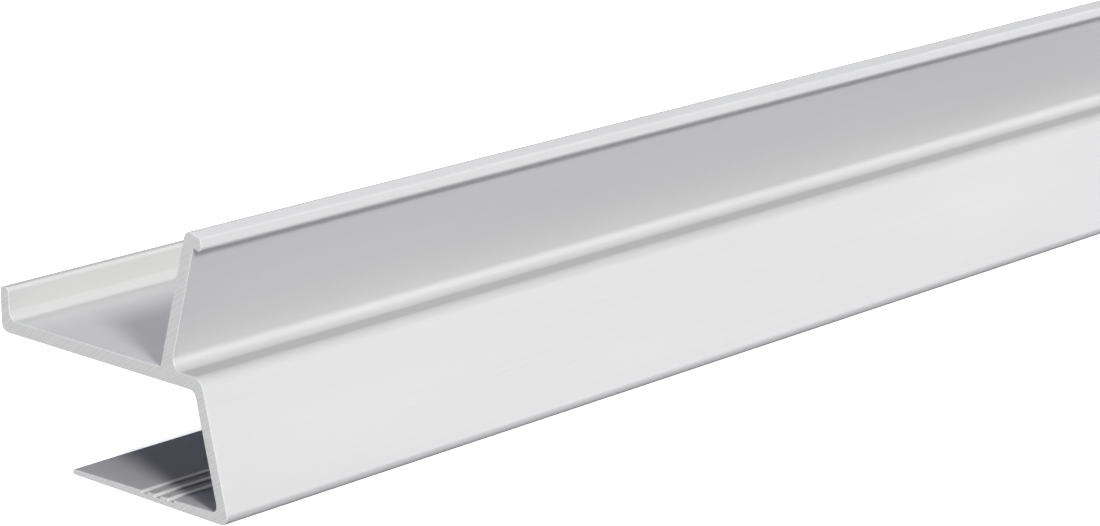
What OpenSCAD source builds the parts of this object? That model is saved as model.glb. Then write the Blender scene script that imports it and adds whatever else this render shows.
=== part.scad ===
// Aluminium panel edge profile
// One straight bar of extruded aluminium. A shallow tray lies on top between a low lip and a
// leaning wall with a small hooked head. Below it a pocket opens to the rear, between the web
// and a thin flange with three fine grooves. Sizes are in millimetres.
// X runs across the section towards the front wall, Y along the bar, Z up.

/* [Bar] */
// Length of the bar
length = 1000; // [200:50:3000]
// Overall width, from the back of the lip to the foot of the front wall
width = 51; // [48:0.5:60]
// Overall height, up to the crown of the hooked head
height = 43.5; // [38:0.5:48]

/* [Tray] */
// Clear height of the pocket under the web
pocket_h = 19.5; // [17:0.5:22]
// Thickness of the web
web_t = 2.15; // [1.8:0.05:2.6]
// Thickness of the lip
lip_t = 2.05; // [1.6:0.05:2.6]
// Height of the lip above the tray floor
lip_h = 5.05; // [3:0.05:8]
// Width of the tray floor, from the lip to the leaning wall
tray_w = 35; // [30:0.5:36]
// Radius under the lip, outside and inside
bend_r = 1.5; // [0.8:0.1:2]
// Radius on the outer edge of the lip
lip_outer_r = 0.4; // [0.2:0.1:0.6]
// Radius on the inner edge of the lip
lip_inner_r = 0.7; // [0.2:0.1:0.8]

/* [Leaning wall] */
// Lean of the wall towards the front, in degrees
wall_lean = 16.3; // [12:0.1:20]
// Thickness of the wall
wall_t = 2.25; // [1.8:0.05:2.6]
// Fillet between the wall and the tray floor
root_back_r = 0.5; // [0.3:0.1:1.5]
// Fillet between the wall and the front ledge
root_front_r = 1.8; // [0.5:0.1:2]

/* [Hooked head] */
// Thickness of the head, measured along the wall
head_t = 2.05; // [1.9:0.05:2.5]
// Width of the head's top, measured across the wall
head_w = 3.25; // [3.1:0.05:4]
// Slope of the nose outwards and down, in degrees
nose_slope = 25; // [10:1:30]
// Radius on the rear of the crown
crown_r = 1.2; // [0.4:0.1:1.4]
// Radius on the front of the crown
brow_r = 0.45; // [0.2:0.05:0.5]
// Radius on the tip of the nose
nose_r = 0.65; // [0.3:0.05:0.7]
// Fillet in the notch under the head
notch_r = 0.2; // [0.1:0.05:0.4]

/* [Front wall] */
// Lean of the front wall outwards and down, in degrees
front_lean = 14; // [8:0.5:16]
// Thickness of the front wall
front_t = 2; // [1.6:0.05:2.6]
// Outside radius of the bend between the ledge and the front wall
brink_r = 2.2; // [1:0.1:2.4]
// Radius in the upper corner of the pocket
pocket_r = 1.5; // [0.5:0.1:2]
// Outside radius at the foot of the front wall
foot_r = 1.5; // [0.5:0.1:2]
// Radius in the lower corner of the pocket
heel_r = 1.1; // [0.3:0.1:1.5]

/* [Flange] */
// Distance from the back of the lip to the flange's edge
flange_in = 16; // [10:0.5:24]
// Thickness at the flange's edge
edge_t = 0.85; // [0.75:0.05:1.2]
// Rise of the flange's top towards the front wall, in degrees
flange_rise = 1.35; // [0.8:0.05:2]
// Radius on the flange's edge
edge_r = 0.25; // [0.1:0.05:0.35]
// Distance from the back of the lip to the middle of the first groove
groove_in = 32.6; // [28:0.1:36]
// Spacing of the three grooves
groove_pitch = 2.95; // [2.6:0.05:3.5]
// Width of a groove's floor
groove_w = 1.15; // [0.6:0.05:1.3]
// Depth of a groove
groove_depth = 0.45; // [0.3:0.05:0.5]
// Spread of each groove side over its depth
groove_draft = 0.12; // [0.05:0.01:0.15]
// Radius on the upper edges of a groove
groove_r = 0.25; // [0.1:0.05:0.3]

/* [Hidden] */
$fn = 96;
hair = 0.0003;
// Levels of the tray floor and of the top of the lip
floor_z = pocket_h + web_t;
lip_top = floor_z + lip_h;
// Front wall: the foot's rounding pulls its leaning outer face in to the overall width
foot_x = width - foot_r + foot_r * (1 + sin(front_lean)) / cos(front_lean);
brink_x = foot_x - floor_z * tan(front_lean);
inner_x = foot_x - front_t / cos(front_lean);
pocket_x = inner_x - pocket_h * tan(front_lean);
// Lower corner of the pocket, where the flange's top meets the front wall's inner face
edge_line = edge_t - flange_in * tan(flange_rise);
heel_x = (inner_x - edge_line * tan(front_lean)) / (1 + tan(flange_rise) * tan(front_lean));
heel_z = edge_line + heel_x * tan(flange_rise);
// Leaning wall: its own axes run up the wall and across it towards the front
wall_x = lip_t + tray_w;
ledge_x = wall_x + wall_t / cos(wall_lean);
crown_c = height - crown_r - floor_z;
head_top = (crown_c + crown_r * sin(wall_lean)) / cos(wall_lean) + crown_r;
head_low = head_top - head_t;
nose_w = head_w + head_t * tan(nose_slope);

// A point on the leaning wall, up it by a and across it by b
function on_wall(a, b) = [
  wall_x + a * sin(wall_lean) + b * cos(wall_lean),
  floor_z + a * cos(wall_lean) - b * sin(wall_lean)
];

// A point over the flange, at x and by b above its rising top
function on_flange(x, b) = [x, edge_line + x * tan(flange_rise) + b];

// A unit step from p towards q
function step(p, q) = (q - p) / norm(q - p);

// What lies between the sharp corner q and its arc of radius r, where q joins p and s.
// It rounds an outside corner when cut away and makes a fillet when added. The circle is a
// hair larger than r, so that it crosses both edges cleanly.
module arc_corner(p, q, s, r) {
  mid = step(q, p) + step(q, s);
  half = acos(step(q, p) * step(q, s)) / 2;
  reach = r / tan(half);
  centre = q + mid / norm(mid) * r / sin(half);
  difference() {
    polygon([q - mid / norm(mid) * 0.2, q + step(q, p) * reach, centre, q + step(q, s) * reach]);
    translate(centre) circle(r + hair);
  }
}

// Web, lip, front wall and flange with sharp corners
module frame_outline() {
  polygon([
    [0, pocket_h],
    [0, lip_top],
    [lip_t, lip_top],
    [lip_t, floor_z],
    [brink_x, floor_z],
    [foot_x, 0],
    [flange_in, 0],
    [flange_in, edge_t],
    [heel_x, heel_z],
    [pocket_x, pocket_h]
  ]);
}

// Leaning wall and its hooked head with sharp corners
module wall_outline() {
  polygon([
    on_wall(-1, 0),
    on_wall(head_top, 0),
    on_wall(head_top, head_w),
    on_wall(head_low, nose_w),
    on_wall(head_low, wall_t),
    on_wall(-1, wall_t)
  ]);
}

// Fillets in the inside corners
module fillets() {
  arc_corner([lip_t, lip_top], [lip_t, floor_z], [wall_x, floor_z], bend_r);
  arc_corner([lip_t, floor_z], [wall_x, floor_z], on_wall(head_top, 0), root_back_r);
  arc_corner([brink_x, floor_z], [ledge_x, floor_z], on_wall(head_low, wall_t), root_front_r);
  arc_corner([ledge_x, floor_z], on_wall(head_low, wall_t), on_wall(head_low, nose_w), notch_r);
  arc_corner([0, pocket_h], [pocket_x, pocket_h], [heel_x, heel_z], pocket_r);
  arc_corner([pocket_x, pocket_h], [heel_x, heel_z], [flange_in, edge_t], heel_r);
}

// Roundings on the outside corners
module roundings() {
  arc_corner([pocket_x, pocket_h], [0, pocket_h], [0, lip_top], bend_r);
  arc_corner([0, pocket_h], [0, lip_top], [lip_t, lip_top], lip_outer_r);
  arc_corner([0, lip_top], [lip_t, lip_top], [lip_t, floor_z], lip_inner_r);
  arc_corner([lip_t, floor_z], [brink_x, floor_z], [foot_x, 0], brink_r);
  arc_corner([brink_x, floor_z], [foot_x, 0], [flange_in, 0], foot_r);
  arc_corner([foot_x, 0], [flange_in, 0], [flange_in, edge_t], edge_r);
  arc_corner([flange_in, 0], [flange_in, edge_t], [heel_x, heel_z], edge_r);
  arc_corner([wall_x, floor_z], on_wall(head_top, 0), on_wall(head_top, head_w), crown_r);
  arc_corner(on_wall(head_top, 0), on_wall(head_top, head_w), on_wall(head_low, nose_w), brow_r);
  arc_corner(on_wall(head_top, head_w), on_wall(head_low, nose_w), on_wall(head_low, 0), nose_r);
}

// One groove with drafted sides, and the roundings that break its upper edges
module groove(x) {
  floor_half = groove_w / 2;
  rim_half = floor_half + groove_draft;
  draft_over = groove_draft / groove_depth;
  polygon([
    on_flange(x - rim_half - draft_over, 1),
    on_flange(x - floor_half, -groove_depth),
    on_flange(x + floor_half, -groove_depth),
    on_flange(x + rim_half + draft_over, 1)
  ]);
  for (side = [-1, 1]) {
    rim = on_flange(x + side * rim_half, 0);
    land = on_flange(x + side * (rim_half + 1), 0);
    root = on_flange(x + side * floor_half, -groove_depth);
    arc_corner(land, rim, root, groove_r);
  }
}

// Three fine grooves in the flange's top, near the front wall
module grooves() {
  for (i = [0:2]) groove(groove_in + i * groove_pitch);
}

// Carries an outline along the bar, past both ends by extra / 2
module along(extra = 0) {
  linear_extrude(height = length + extra, center = true) children();
}

// The whole bar, centred over the origin with the flange's underside on z = 0
module profile() {
  color([0.80, 0.80, 0.82])
  translate([-width / 2, 0, 0])
  rotate([90, 0, 0])
  difference() {
    union() {
      along() frame_outline();
      along() wall_outline();
      along() fillets();
    }
    along(2) roundings();
    along(2) grooves();
  }
}

profile();
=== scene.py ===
"""A straight bar of extruded aluminium on a pale studio floor.

The bar is one piece of stock. Its outline is first a ring of sharp corners, worked out from a few
sizes. Every corner is then turned into an arc, and the rounded outline is carried along the bar
and closed at both sawn ends. Sizes are in metres and angles in degrees unless a name says so.
X runs across the section towards the front wall, Y along the bar, Z up.
"""
from math import cos, radians, sin, tan

import bpy
import numpy as np
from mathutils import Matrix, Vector


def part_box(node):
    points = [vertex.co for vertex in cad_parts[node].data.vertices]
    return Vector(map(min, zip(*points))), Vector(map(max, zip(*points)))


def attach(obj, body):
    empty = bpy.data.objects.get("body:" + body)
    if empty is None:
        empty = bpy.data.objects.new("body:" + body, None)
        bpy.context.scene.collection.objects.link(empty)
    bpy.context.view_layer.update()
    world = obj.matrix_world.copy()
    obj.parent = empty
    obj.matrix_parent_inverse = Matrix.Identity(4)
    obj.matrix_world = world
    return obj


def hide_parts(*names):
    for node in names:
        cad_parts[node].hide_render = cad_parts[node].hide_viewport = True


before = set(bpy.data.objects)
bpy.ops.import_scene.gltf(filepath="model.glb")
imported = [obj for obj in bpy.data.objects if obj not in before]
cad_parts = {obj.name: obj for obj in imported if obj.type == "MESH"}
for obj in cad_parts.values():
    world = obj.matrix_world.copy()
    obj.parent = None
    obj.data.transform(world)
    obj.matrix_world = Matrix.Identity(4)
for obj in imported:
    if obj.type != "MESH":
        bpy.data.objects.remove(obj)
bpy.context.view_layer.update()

MM = 0.001

# Tray, lip and web
POCKET_H = 19.5 * MM
WEB_T = 2.15 * MM
LIP_T = 2.05 * MM
LIP_H = 5.05 * MM
TRAY_W = 35 * MM
BEND_R = 1.5 * MM
LIP_OUTER_R = 0.4 * MM
LIP_INNER_R = 0.7 * MM
# Leaning wall with its hooked head; these angles are in radians
WALL_LEAN = radians(16.3)
WALL_T = 2.25 * MM
ROOT_BACK_R = 0.5 * MM
ROOT_FRONT_R = 1.8 * MM
HEAD_T = 2.05 * MM
HEAD_W = 3.25 * MM
NOSE_SLOPE = radians(25)
CROWN_R = 1.2 * MM
BROW_R = 0.45 * MM
NOSE_R = 0.65 * MM
NOTCH_R = 0.2 * MM
# Front wall; its lean is in radians
FRONT_LEAN = radians(14)
FRONT_T = 2 * MM
BRINK_R = 2.2 * MM
POCKET_R = 1.5 * MM
FOOT_R = 1.5 * MM
HEEL_R = 1.1 * MM
# Flange with its three grooves; its rise is in radians
FLANGE_IN = 16 * MM
EDGE_T = 0.85 * MM
FLANGE_RISE = radians(1.35)
EDGE_R = 0.25 * MM
GROOVES = 3
GROOVE_IN = 32.6 * MM
GROOVE_PITCH = 2.95 * MM
GROOVE_W = 1.15 * MM
GROOVE_DEPTH = 0.45 * MM
GROOVE_DRAFT = 0.12 * MM
GROOVE_RIM_R = 0.25 * MM
GROOVE_ROOT_R = 0.06 * MM
# Broken edge round both sawn ends
END_BREAK_R = 0.1 * MM

# How finely the arcs, the broken edges and the length are divided
ARC_STEPS = 12
END_BREAK_STEPS = 4
LENGTH_STEPS = 50

# Flat map: its side margin, the heights that the skin and the sawn faces take up, how far beside
# the near face the far one lies, and what a short ring counts for
MAP_MARGIN = 0.01
MAP_SKIN = (0.01, 0.59)
MAP_SAWN = (0.62, 0.99)
MAP_FAR_FACE = 0.5
MAP_RING = 5 * MM

# Both finishes: the share of the surface that shines as bare metal, and the gloss of the rest
METAL_SHARE = 0.2
FILM_GLOSS = 0.2
# The middle range of a noise, which between() stretches
NOISE_LOW = 0.3
NOISE_HIGH = 0.7
# Anodised skin: lines left by the die, and cloudy patches
SKIN_GREYS = (0.366, 0.394)
SKIN_ROUGHNESS = (0.43, 0.49)
LINE_STRETCH = 0.004
LINES_PER_METRE = 2600
LINE_RELIEF = 2.5e-6
PATCH_STRETCH = 0.2
PATCHES_PER_METRE = 60
# Sawn ends: scores round the arbor of the saw blade, whose place is measured from the origin
SAWN_GREYS = (0.375, 0.51)
SAWN_ROUGHNESS = (0.4, 0.5)
ARBOR = (180 * MM, 0, -230 * MM)
SCORES_PER_METRE = 4200
SCORE_SHARPNESS = 0.65
SCORE_RELIEF = 2e-5

# Floor and sky
FLOOR_HALF = 12.0
FLOOR_GREY = 0.9
FLOOR_GLOW = 0.8
SKY = (0.045, 0.045, 0.125)
# Camera: it aims at a point that is measured from the bar's lowest corner
CAMERA_AIM = (40.4 * MM, 80.3 * MM, 21.65 * MM)
CAMERA_AZIMUTH = 43.1
CAMERA_ELEVATION = 15.69
CAMERA_DISTANCE = 0.5873
CAMERA_LENS = 118.7
CAMERA_CLIP = 10 * MM


def groove_corners(middle, on_flange):
    """Four corners of one groove and their radii, from its front rim to its rear rim.

    The floor reaches half its width to both sides of the middle, and each rim lies one draft
    further out and one depth higher.
    """
    floor_half = GROOVE_W / 2
    rim_half = floor_half + GROOVE_DRAFT
    across = [rim_half, floor_half, -floor_half, -rim_half]
    down = [0, -GROOVE_DEPTH, -GROOVE_DEPTH, 0]
    radii = [GROOVE_RIM_R, GROOVE_ROOT_R, GROOVE_ROOT_R, GROOVE_RIM_R]
    return [(on_flange(middle + a, d), r) for a, d, r in zip(across, down, radii)]


def section_corners(width, height):
    """The section's sharp corners with their radii, anticlockwise from the flange's edge.

    The back of the lip is x = 0 and the flange's underside z = 0. The front wall's foot is pushed
    out until its rounding touches x = width, and the leaning wall goes up until its rounded crown
    touches z = height.
    """
    floor = POCKET_H + WEB_T
    lip_top = floor + LIP_H
    foot_x = width - FOOT_R + FOOT_R * (1 + sin(FRONT_LEAN)) / cos(FRONT_LEAN)
    brink_x = foot_x - floor * tan(FRONT_LEAN)
    inner_x = foot_x - FRONT_T / cos(FRONT_LEAN)
    pocket_x = inner_x - POCKET_H * tan(FRONT_LEAN)
    edge_line = EDGE_T - FLANGE_IN * tan(FLANGE_RISE)
    heel_x = (inner_x - edge_line * tan(FRONT_LEAN)) / (1 + tan(FLANGE_RISE) * tan(FRONT_LEAN))
    wall_x = LIP_T + TRAY_W
    ledge_x = wall_x + WALL_T / cos(WALL_LEAN)
    crown = height - CROWN_R - floor
    head_top = (crown + CROWN_R * sin(WALL_LEAN)) / cos(WALL_LEAN) + CROWN_R
    head_low = head_top - HEAD_T
    nose_w = HEAD_W + HEAD_T * tan(NOSE_SLOPE)

    def on_wall(up, across):
        """A point on the leaning wall: along it by up, then square to it by across."""
        return (
            wall_x + up * sin(WALL_LEAN) + across * cos(WALL_LEAN),
            floor + up * cos(WALL_LEAN) - across * sin(WALL_LEAN),
        )

    def on_flange(x, above):
        """A point over the flange's rising top, which climbs by tan(rise) for each unit of x."""
        return (x, edge_line + x * tan(FLANGE_RISE) + above)

    corners = [
        ((FLANGE_IN, 0), EDGE_R),
        ((foot_x, 0), FOOT_R),
        ((brink_x, floor), BRINK_R),
        ((ledge_x, floor), ROOT_FRONT_R),
        (on_wall(head_low, WALL_T), NOTCH_R),
        (on_wall(head_low, nose_w), NOSE_R),
        (on_wall(head_top, HEAD_W), BROW_R),
        (on_wall(head_top, 0), CROWN_R),
        ((wall_x, floor), ROOT_BACK_R),
        ((LIP_T, floor), BEND_R),
        ((LIP_T, lip_top), LIP_INNER_R),
        ((0, lip_top), LIP_OUTER_R),
        ((0, POCKET_H), BEND_R),
        ((pocket_x, POCKET_H), POCKET_R),
        (on_flange(heel_x, 0), HEEL_R),
    ]
    for i in reversed(range(GROOVES)):
        corners += groove_corners(GROOVE_IN + i * GROOVE_PITCH, on_flange)
    corners.append(((FLANGE_IN, EDGE_T), EDGE_R))
    points, radii = zip(*corners)
    return np.array(points), np.array(radii)


def unit(vectors):
    """Each vector divided by its own length."""
    return vectors / np.linalg.norm(vectors, axis=-1, keepdims=True)


def rounded_outline(corners, radii):
    """Turns each sharp corner into an arc that touches both of its edges.

    With a and b the unit steps from a corner to its two neighbours and h half of the angle between
    them, the arc's centre lies r / sin(h) from the corner along a + b, and the arc runs from the
    foot of the centre on one edge to its foot on the other. Returns the points and, for each, the
    unit normal that points out of the metal.
    """
    back = unit(np.roll(corners, 1, axis=0) - corners)
    ahead = unit(np.roll(corners, -1, axis=0) - corners)
    half = np.arccos(np.clip((back * ahead).sum(axis=1), -1, 1)) / 2
    centre = corners + unit(back + ahead) * (radii / np.sin(half))[:, None]
    start = corners + back * (radii / np.tan(half))[:, None] - centre
    end = corners + ahead * (radii / np.tan(half))[:, None] - centre
    first = np.arctan2(start[:, 1], start[:, 0])
    turn = np.arctan2(end[:, 1], end[:, 0]) - first
    turn = (turn + np.pi) % (2 * np.pi) - np.pi
    angle = first[:, None] + turn[:, None] * np.linspace(0, 1, ARC_STEPS + 1)
    spoke = np.stack([np.cos(angle), np.sin(angle)], axis=-1)
    points = centre[:, None] + radii[:, None, None] * spoke
    normals = spoke * np.sign(turn)[:, None, None]
    return points.reshape(-1, 2), normals.reshape(-1, 2)


def bar_stations(low, high):
    """Places along the bar, each with its inset and the tilt of its normal in radians.

    Near an end the skin turns through a quarter circle of radius r into the sawn face: at the angle
    t from that face it lies r (1 - sin t) inside the outline and r (1 - cos t) from the face.
    """
    t = np.linspace(0, np.pi / 2, END_BREAK_STEPS + 1)
    inset = END_BREAK_R * (1 - np.sin(t))
    offset = END_BREAK_R * (1 - np.cos(t))
    middle = np.linspace(low + END_BREAK_R, high - END_BREAK_R, LENGTH_STEPS + 1)[1:-1]
    y = np.concatenate([low + offset, middle, (high - offset)[::-1]])
    inset = np.concatenate([inset, middle * 0, inset[::-1]])
    tilt = np.concatenate([t - np.pi / 2, middle * 0, (np.pi / 2 - t)[::-1]])
    return y, inset, tilt


def round_distance(outline):
    """Distance round the outline to each point, and back to the first: the sum of the sides."""
    sides = np.linalg.norm(np.roll(outline, -1, axis=0) - outline, axis=1)
    return np.append(0, np.cumsum(sides))


def lay_flat(mesh, outline, y):
    """Gives every face its own place on a flat map, so that a finish can be painted on.

    The skin is unrolled: distance round the outline goes across the map, distance along the bar
    goes up it, and a ring shorter than MAP_RING is drawn as long as that. The two sawn faces lie
    side by side above it, both at one scale, which fits the section's height into their strip.
    """
    around = round_distance(outline)
    along = np.append(0, np.cumsum(np.maximum(np.diff(y), MAP_RING)))
    across = MAP_MARGIN + (1 - 2 * MAP_MARGIN) * around / around[-1]
    up = MAP_SKIN[0] + (MAP_SKIN[1] - MAP_SKIN[0]) * along / along[-1]
    first, next_one = across[:-1], across[1:]
    skin = np.empty((len(y) - 1, len(outline), 4, 2))
    skin[..., 0] = np.stack([first, first, next_one, next_one], axis=-1)
    skin[..., 1] = np.stack([up[:-1], up[1:], up[1:], up[:-1]], axis=-1)[:, None]
    scale = (MAP_SAWN[1] - MAP_SAWN[0]) / np.ptp(outline[:, 1])
    near = (outline - outline.min(axis=0)) * scale + (MAP_MARGIN, MAP_SAWN[0])
    far = (near + (MAP_FAR_FACE, 0))[::-1]
    layer = mesh.uv_layers.new(name="OFBake")
    places = np.concatenate([skin.reshape(-1, 2), near, far])
    layer.uv.foreach_set("vector", places.astype(np.float32).ravel())


def make_bar(name, low, high):
    """Carries the rounded outline along Y and closes it with a flat face at each end.

    Point (i, j) is the outline's point j moved in along its normal by the inset of station i. Its
    normal leans out of the section by the station's tilt. The broken edges and the two end faces
    take the second finish, and everything between them takes the first.
    """
    corners, radii = section_corners(high.x - low.x, high.z - low.z)
    outline, out = rounded_outline(corners, radii)
    y, inset, tilt = bar_stations(low.y, high.y)
    flat = outline[None] - out[None] * inset[:, None, None]
    rows, count = flat.shape[:2]
    points = np.empty((rows, count, 3))
    points[..., 0] = low.x + flat[..., 0]
    points[..., 1] = y[:, None]
    points[..., 2] = low.z + flat[..., 1]
    normals = np.empty((rows, count, 3))
    normals[..., 0] = np.cos(tilt)[:, None] * out[None, :, 0]
    normals[..., 1] = np.sin(tilt)[:, None]
    normals[..., 2] = np.cos(tilt)[:, None] * out[None, :, 1]

    index = np.arange(rows * count).reshape(rows, count)
    beside = np.roll(index, -1, axis=1)
    quads = np.stack([index[:-1], index[1:], beside[1:], beside[:-1]], axis=-1).reshape(-1, 4)
    ends = [index[0].tolist(), index[-1][::-1].tolist()]
    mesh = bpy.data.meshes.new(name)
    mesh.from_pydata(points.reshape(-1, 3), [], quads.tolist() + ends)
    row = np.repeat(np.arange(rows - 1), count)
    sawn = (row < END_BREAK_STEPS) | (row >= rows - 1 - END_BREAK_STEPS)
    mesh.polygons.foreach_set("material_index", np.append(sawn, [True, True]).astype(np.int32))
    mesh.polygons.foreach_set("use_smooth", np.ones(len(mesh.polygons), bool))
    lay_flat(mesh, outline, y)
    mesh.normals_split_custom_set_from_vertices(normals.reshape(-1, 3))
    mesh.update()
    bar = bpy.data.objects.new(name, mesh)
    bpy.context.scene.collection.objects.link(bar)
    return bar


def new_material(name):
    """A material with only its Principled shader. Returns it and that shader."""
    material = bpy.data.materials.new(name)
    material.use_nodes = True
    return material, material.node_tree.nodes["Principled BSDF"]


def add_node(material, kind, inputs, **settings):
    """Adds a node and returns its first output. Each input is a constant or a node's output."""
    node = material.node_tree.nodes.new(kind)
    for key, value in settings.items():
        setattr(node, key, value)
    for key, value in inputs.items():
        if isinstance(value, bpy.types.NodeSocket):
            material.node_tree.links.new(value, node.inputs[key])
        else:
            node.inputs[key].default_value = value
    return node.outputs[0]


def object_coordinates(material, scale):
    """The piece's own coordinates in metres, each axis multiplied by its scale."""
    node = material.node_tree.nodes.new("ShaderNodeTexCoord")
    inputs = {0: node.outputs["Object"], 1: scale}
    return add_node(material, "ShaderNodeVectorMath", inputs, operation="MULTIPLY")


def noise(material, vector, scale, detail):
    """Soft random values around 0.5 with features of about 1 / scale metres."""
    inputs = {"Vector": vector, "Scale": scale, "Detail": detail}
    return add_node(material, "ShaderNodeTexNoise", inputs)


def between(material, value, low, high):
    """Turns the middle range of a noise, evenly, into low to high, and clips what lies outside."""
    inputs = {
        "Value": value,
        "From Min": NOISE_LOW,
        "From Max": NOISE_HIGH,
        "To Min": low,
        "To Max": high,
    }
    return add_node(material, "ShaderNodeMapRange", inputs)


def blend_greys(material, factor, dark, light):
    """A grey that goes evenly from dark to light as the factor goes from 0 to 1."""
    node = material.node_tree.nodes.new("ShaderNodeMix")
    node.data_type = "RGBA"
    node.inputs["A"].default_value = (dark, dark, dark, 1)
    node.inputs["B"].default_value = (light, light, light, 1)
    material.node_tree.links.new(factor, node.inputs["Factor"])
    return node.outputs["Result"]


def set_finish(material, shader, colour, roughness, height, relief):
    """Gives the shader its even metal share and gloss, and its colour, roughness and relief.

    The height, from 0 to 1, stands for 0 to relief metres.
    """
    links = material.node_tree.links
    shader.inputs["Metallic"].default_value = METAL_SHARE
    shader.inputs["Specular IOR Level"].default_value = FILM_GLOSS
    links.new(colour, shader.inputs["Base Color"])
    links.new(roughness, shader.inputs["Roughness"])
    bump = add_node(material, "ShaderNodeBump", {"Height": height, "Distance": relief})
    links.new(bump, shader.inputs["Normal"])


def anodised_skin():
    """Matt anodised aluminium: fine lines drawn along the bar by the die, over a faint mottle.

    The lines are noise on coordinates that are squeezed along Y, so each one runs on for
    decimetres while it is a fraction of a millimetre wide. The grey follows the mean of the lines
    and the mottle.
    """
    material, shader = new_material("anodised_skin")
    along_bar = object_coordinates(material, (1, LINE_STRETCH, 1))
    lines = noise(material, along_bar, LINES_PER_METRE, detail=3)
    cloudy = object_coordinates(material, (1, PATCH_STRETCH, 1))
    mottle = noise(material, cloudy, PATCHES_PER_METRE, detail=2)
    total = add_node(material, "ShaderNodeMath", {0: lines, 1: mottle}, operation="ADD")
    mean = add_node(material, "ShaderNodeMath", {0: total, 1: 0.5}, operation="MULTIPLY")
    colour = blend_greys(material, between(material, mean, 0, 1), *SKIN_GREYS)
    roughness = between(material, lines, *SKIN_ROUGHNESS)
    set_finish(material, shader, colour, roughness, lines, LINE_RELIEF)
    return material


def sawn_metal():
    """Bare aluminium where the bar was sawn off, scored in arcs round the saw blade's arbor.

    The scores are noise of one variable, the distance from the arbor, so that they are parts of
    circles across the whole face.
    """
    material, shader = new_material("sawn_metal")
    flat = object_coordinates(material, (1, 0, 1))
    reach = add_node(material, "ShaderNodeVectorMath", {0: flat, 1: ARBOR}, operation="DISTANCE")
    reach = reach.node.outputs["Value"]
    inputs = {"W": reach, "Scale": SCORES_PER_METRE, "Detail": 4, "Roughness": SCORE_SHARPNESS}
    scores = add_node(material, "ShaderNodeTexNoise", inputs, noise_dimensions="1D")
    colour = blend_greys(material, between(material, scores, 0, 1), *SAWN_GREYS)
    roughness = between(material, scores, *SAWN_ROUGHNESS)
    set_finish(material, shader, colour, roughness, scores, SCORE_RELIEF)
    return material


def add_floor(level):
    """A wide, flat, pale square at the level that the bar lies on.

    It glows a little, so that it looks white, and neither its glow nor the light that it throws
    back reaches the bar.
    """
    half = np.array([[-1, -1], [1, -1], [1, 1], [-1, 1]]) * FLOOR_HALF
    corners = np.column_stack([half, np.full(4, level)])
    mesh = bpy.data.meshes.new("floor")
    mesh.from_pydata(corners, [], [[0, 1, 2, 3]])
    material, shader = new_material("pale_floor")
    shader.inputs["Base Color"].default_value = (FLOOR_GREY, FLOOR_GREY, FLOOR_GREY, 1)
    shader.inputs["Roughness"].default_value = 0.9
    shader.inputs["Specular IOR Level"].default_value = 0
    shader.inputs["Emission Color"].default_value = (1, 1, 1, 1)
    shader.inputs["Emission Strength"].default_value = FLOOR_GLOW
    mesh.materials.append(material)
    floor = bpy.data.objects.new("floor", mesh)
    floor.visible_diffuse = False
    floor.visible_glossy = False
    bpy.context.scene.collection.objects.link(floor)


def direction(azimuth, elevation):
    """Unit vector at an azimuth from -Y towards +X and an elevation over the floor.

    With a the azimuth and e the elevation it is (sin a cos e, -cos a cos e, sin e).
    """
    a = radians(azimuth)
    e = radians(elevation)
    return Vector((sin(a) * cos(e), -cos(a) * cos(e), sin(e)))


def looking_back(towards):
    """The turn that makes a camera or a lamp, placed in this direction, look at the bar."""
    return (-towards).to_track_quat("-Z", "Y").to_euler()


def add_camera(low):
    """Long lens, looking down at the front wall near the bar's near end."""
    aim = low + Vector(CAMERA_AIM)
    towards = direction(CAMERA_AZIMUTH, CAMERA_ELEVATION)
    data = bpy.data.cameras.new("camera")
    data.lens = CAMERA_LENS
    data.clip_start = CAMERA_CLIP
    camera = bpy.data.objects.new("camera", data)
    camera.location = aim + towards * CAMERA_DISTANCE
    camera.rotation_euler = looking_back(towards)
    bpy.context.scene.collection.objects.link(camera)
    bpy.context.scene.camera = camera


def add_soft_light(name, azimuth, elevation, spread, strength, colour):
    """A large light far away: its spread is the angle it fills, seen from the bar. Returns it."""
    data = bpy.data.lights.new(name, "SUN")
    data.angle = radians(spread)
    data.energy = strength
    data.color = colour
    light = bpy.data.objects.new(name, data)
    light.rotation_euler = looking_back(direction(azimuth, elevation))
    bpy.context.scene.collection.objects.link(light)
    return light


def add_sky(colour):
    """Even, dim light from all round, which tints the hollows."""
    world = bpy.data.worlds.new("studio")
    world.use_nodes = True
    background = world.node_tree.nodes["Background"]
    background.inputs["Color"].default_value = (*colour, 1)
    bpy.context.scene.world = world


low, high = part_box("profile")
bar = make_bar("extruded_bar", low, high)
bar.data.materials.append(anodised_skin())
bar.data.materials.append(sawn_metal())
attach(bar, "root")
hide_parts("profile")

add_floor(low.z)
add_camera(low)
# Each light has its azimuth, elevation and spread, then its strength and colour
add_soft_light("key", 71, 33, 11, 3.8, (1, 1, 0.98))
fill = add_soft_light("fill", 32, 2.5, 18, 6.8, (1, 1, 0.94))
add_soft_light("rear", 132, 8, 30, 0.65, (1, 1, 1))
add_soft_light("top", 225, 72, 60, 2.2, (1, 1, 0.98))
add_soft_light("back", 262, 3, 40, 1.0, (1, 1, 1))
add_soft_light("far end", 180, 6, 30, 2.0, (1, 1, 1))
add_sky(SKY)
# The fill is strong. Mirrored in the front wall, it would burn it out when seen from the far end
fill.visible_glossy = False
bpy.context.scene.view_settings.view_transform = "Standard"
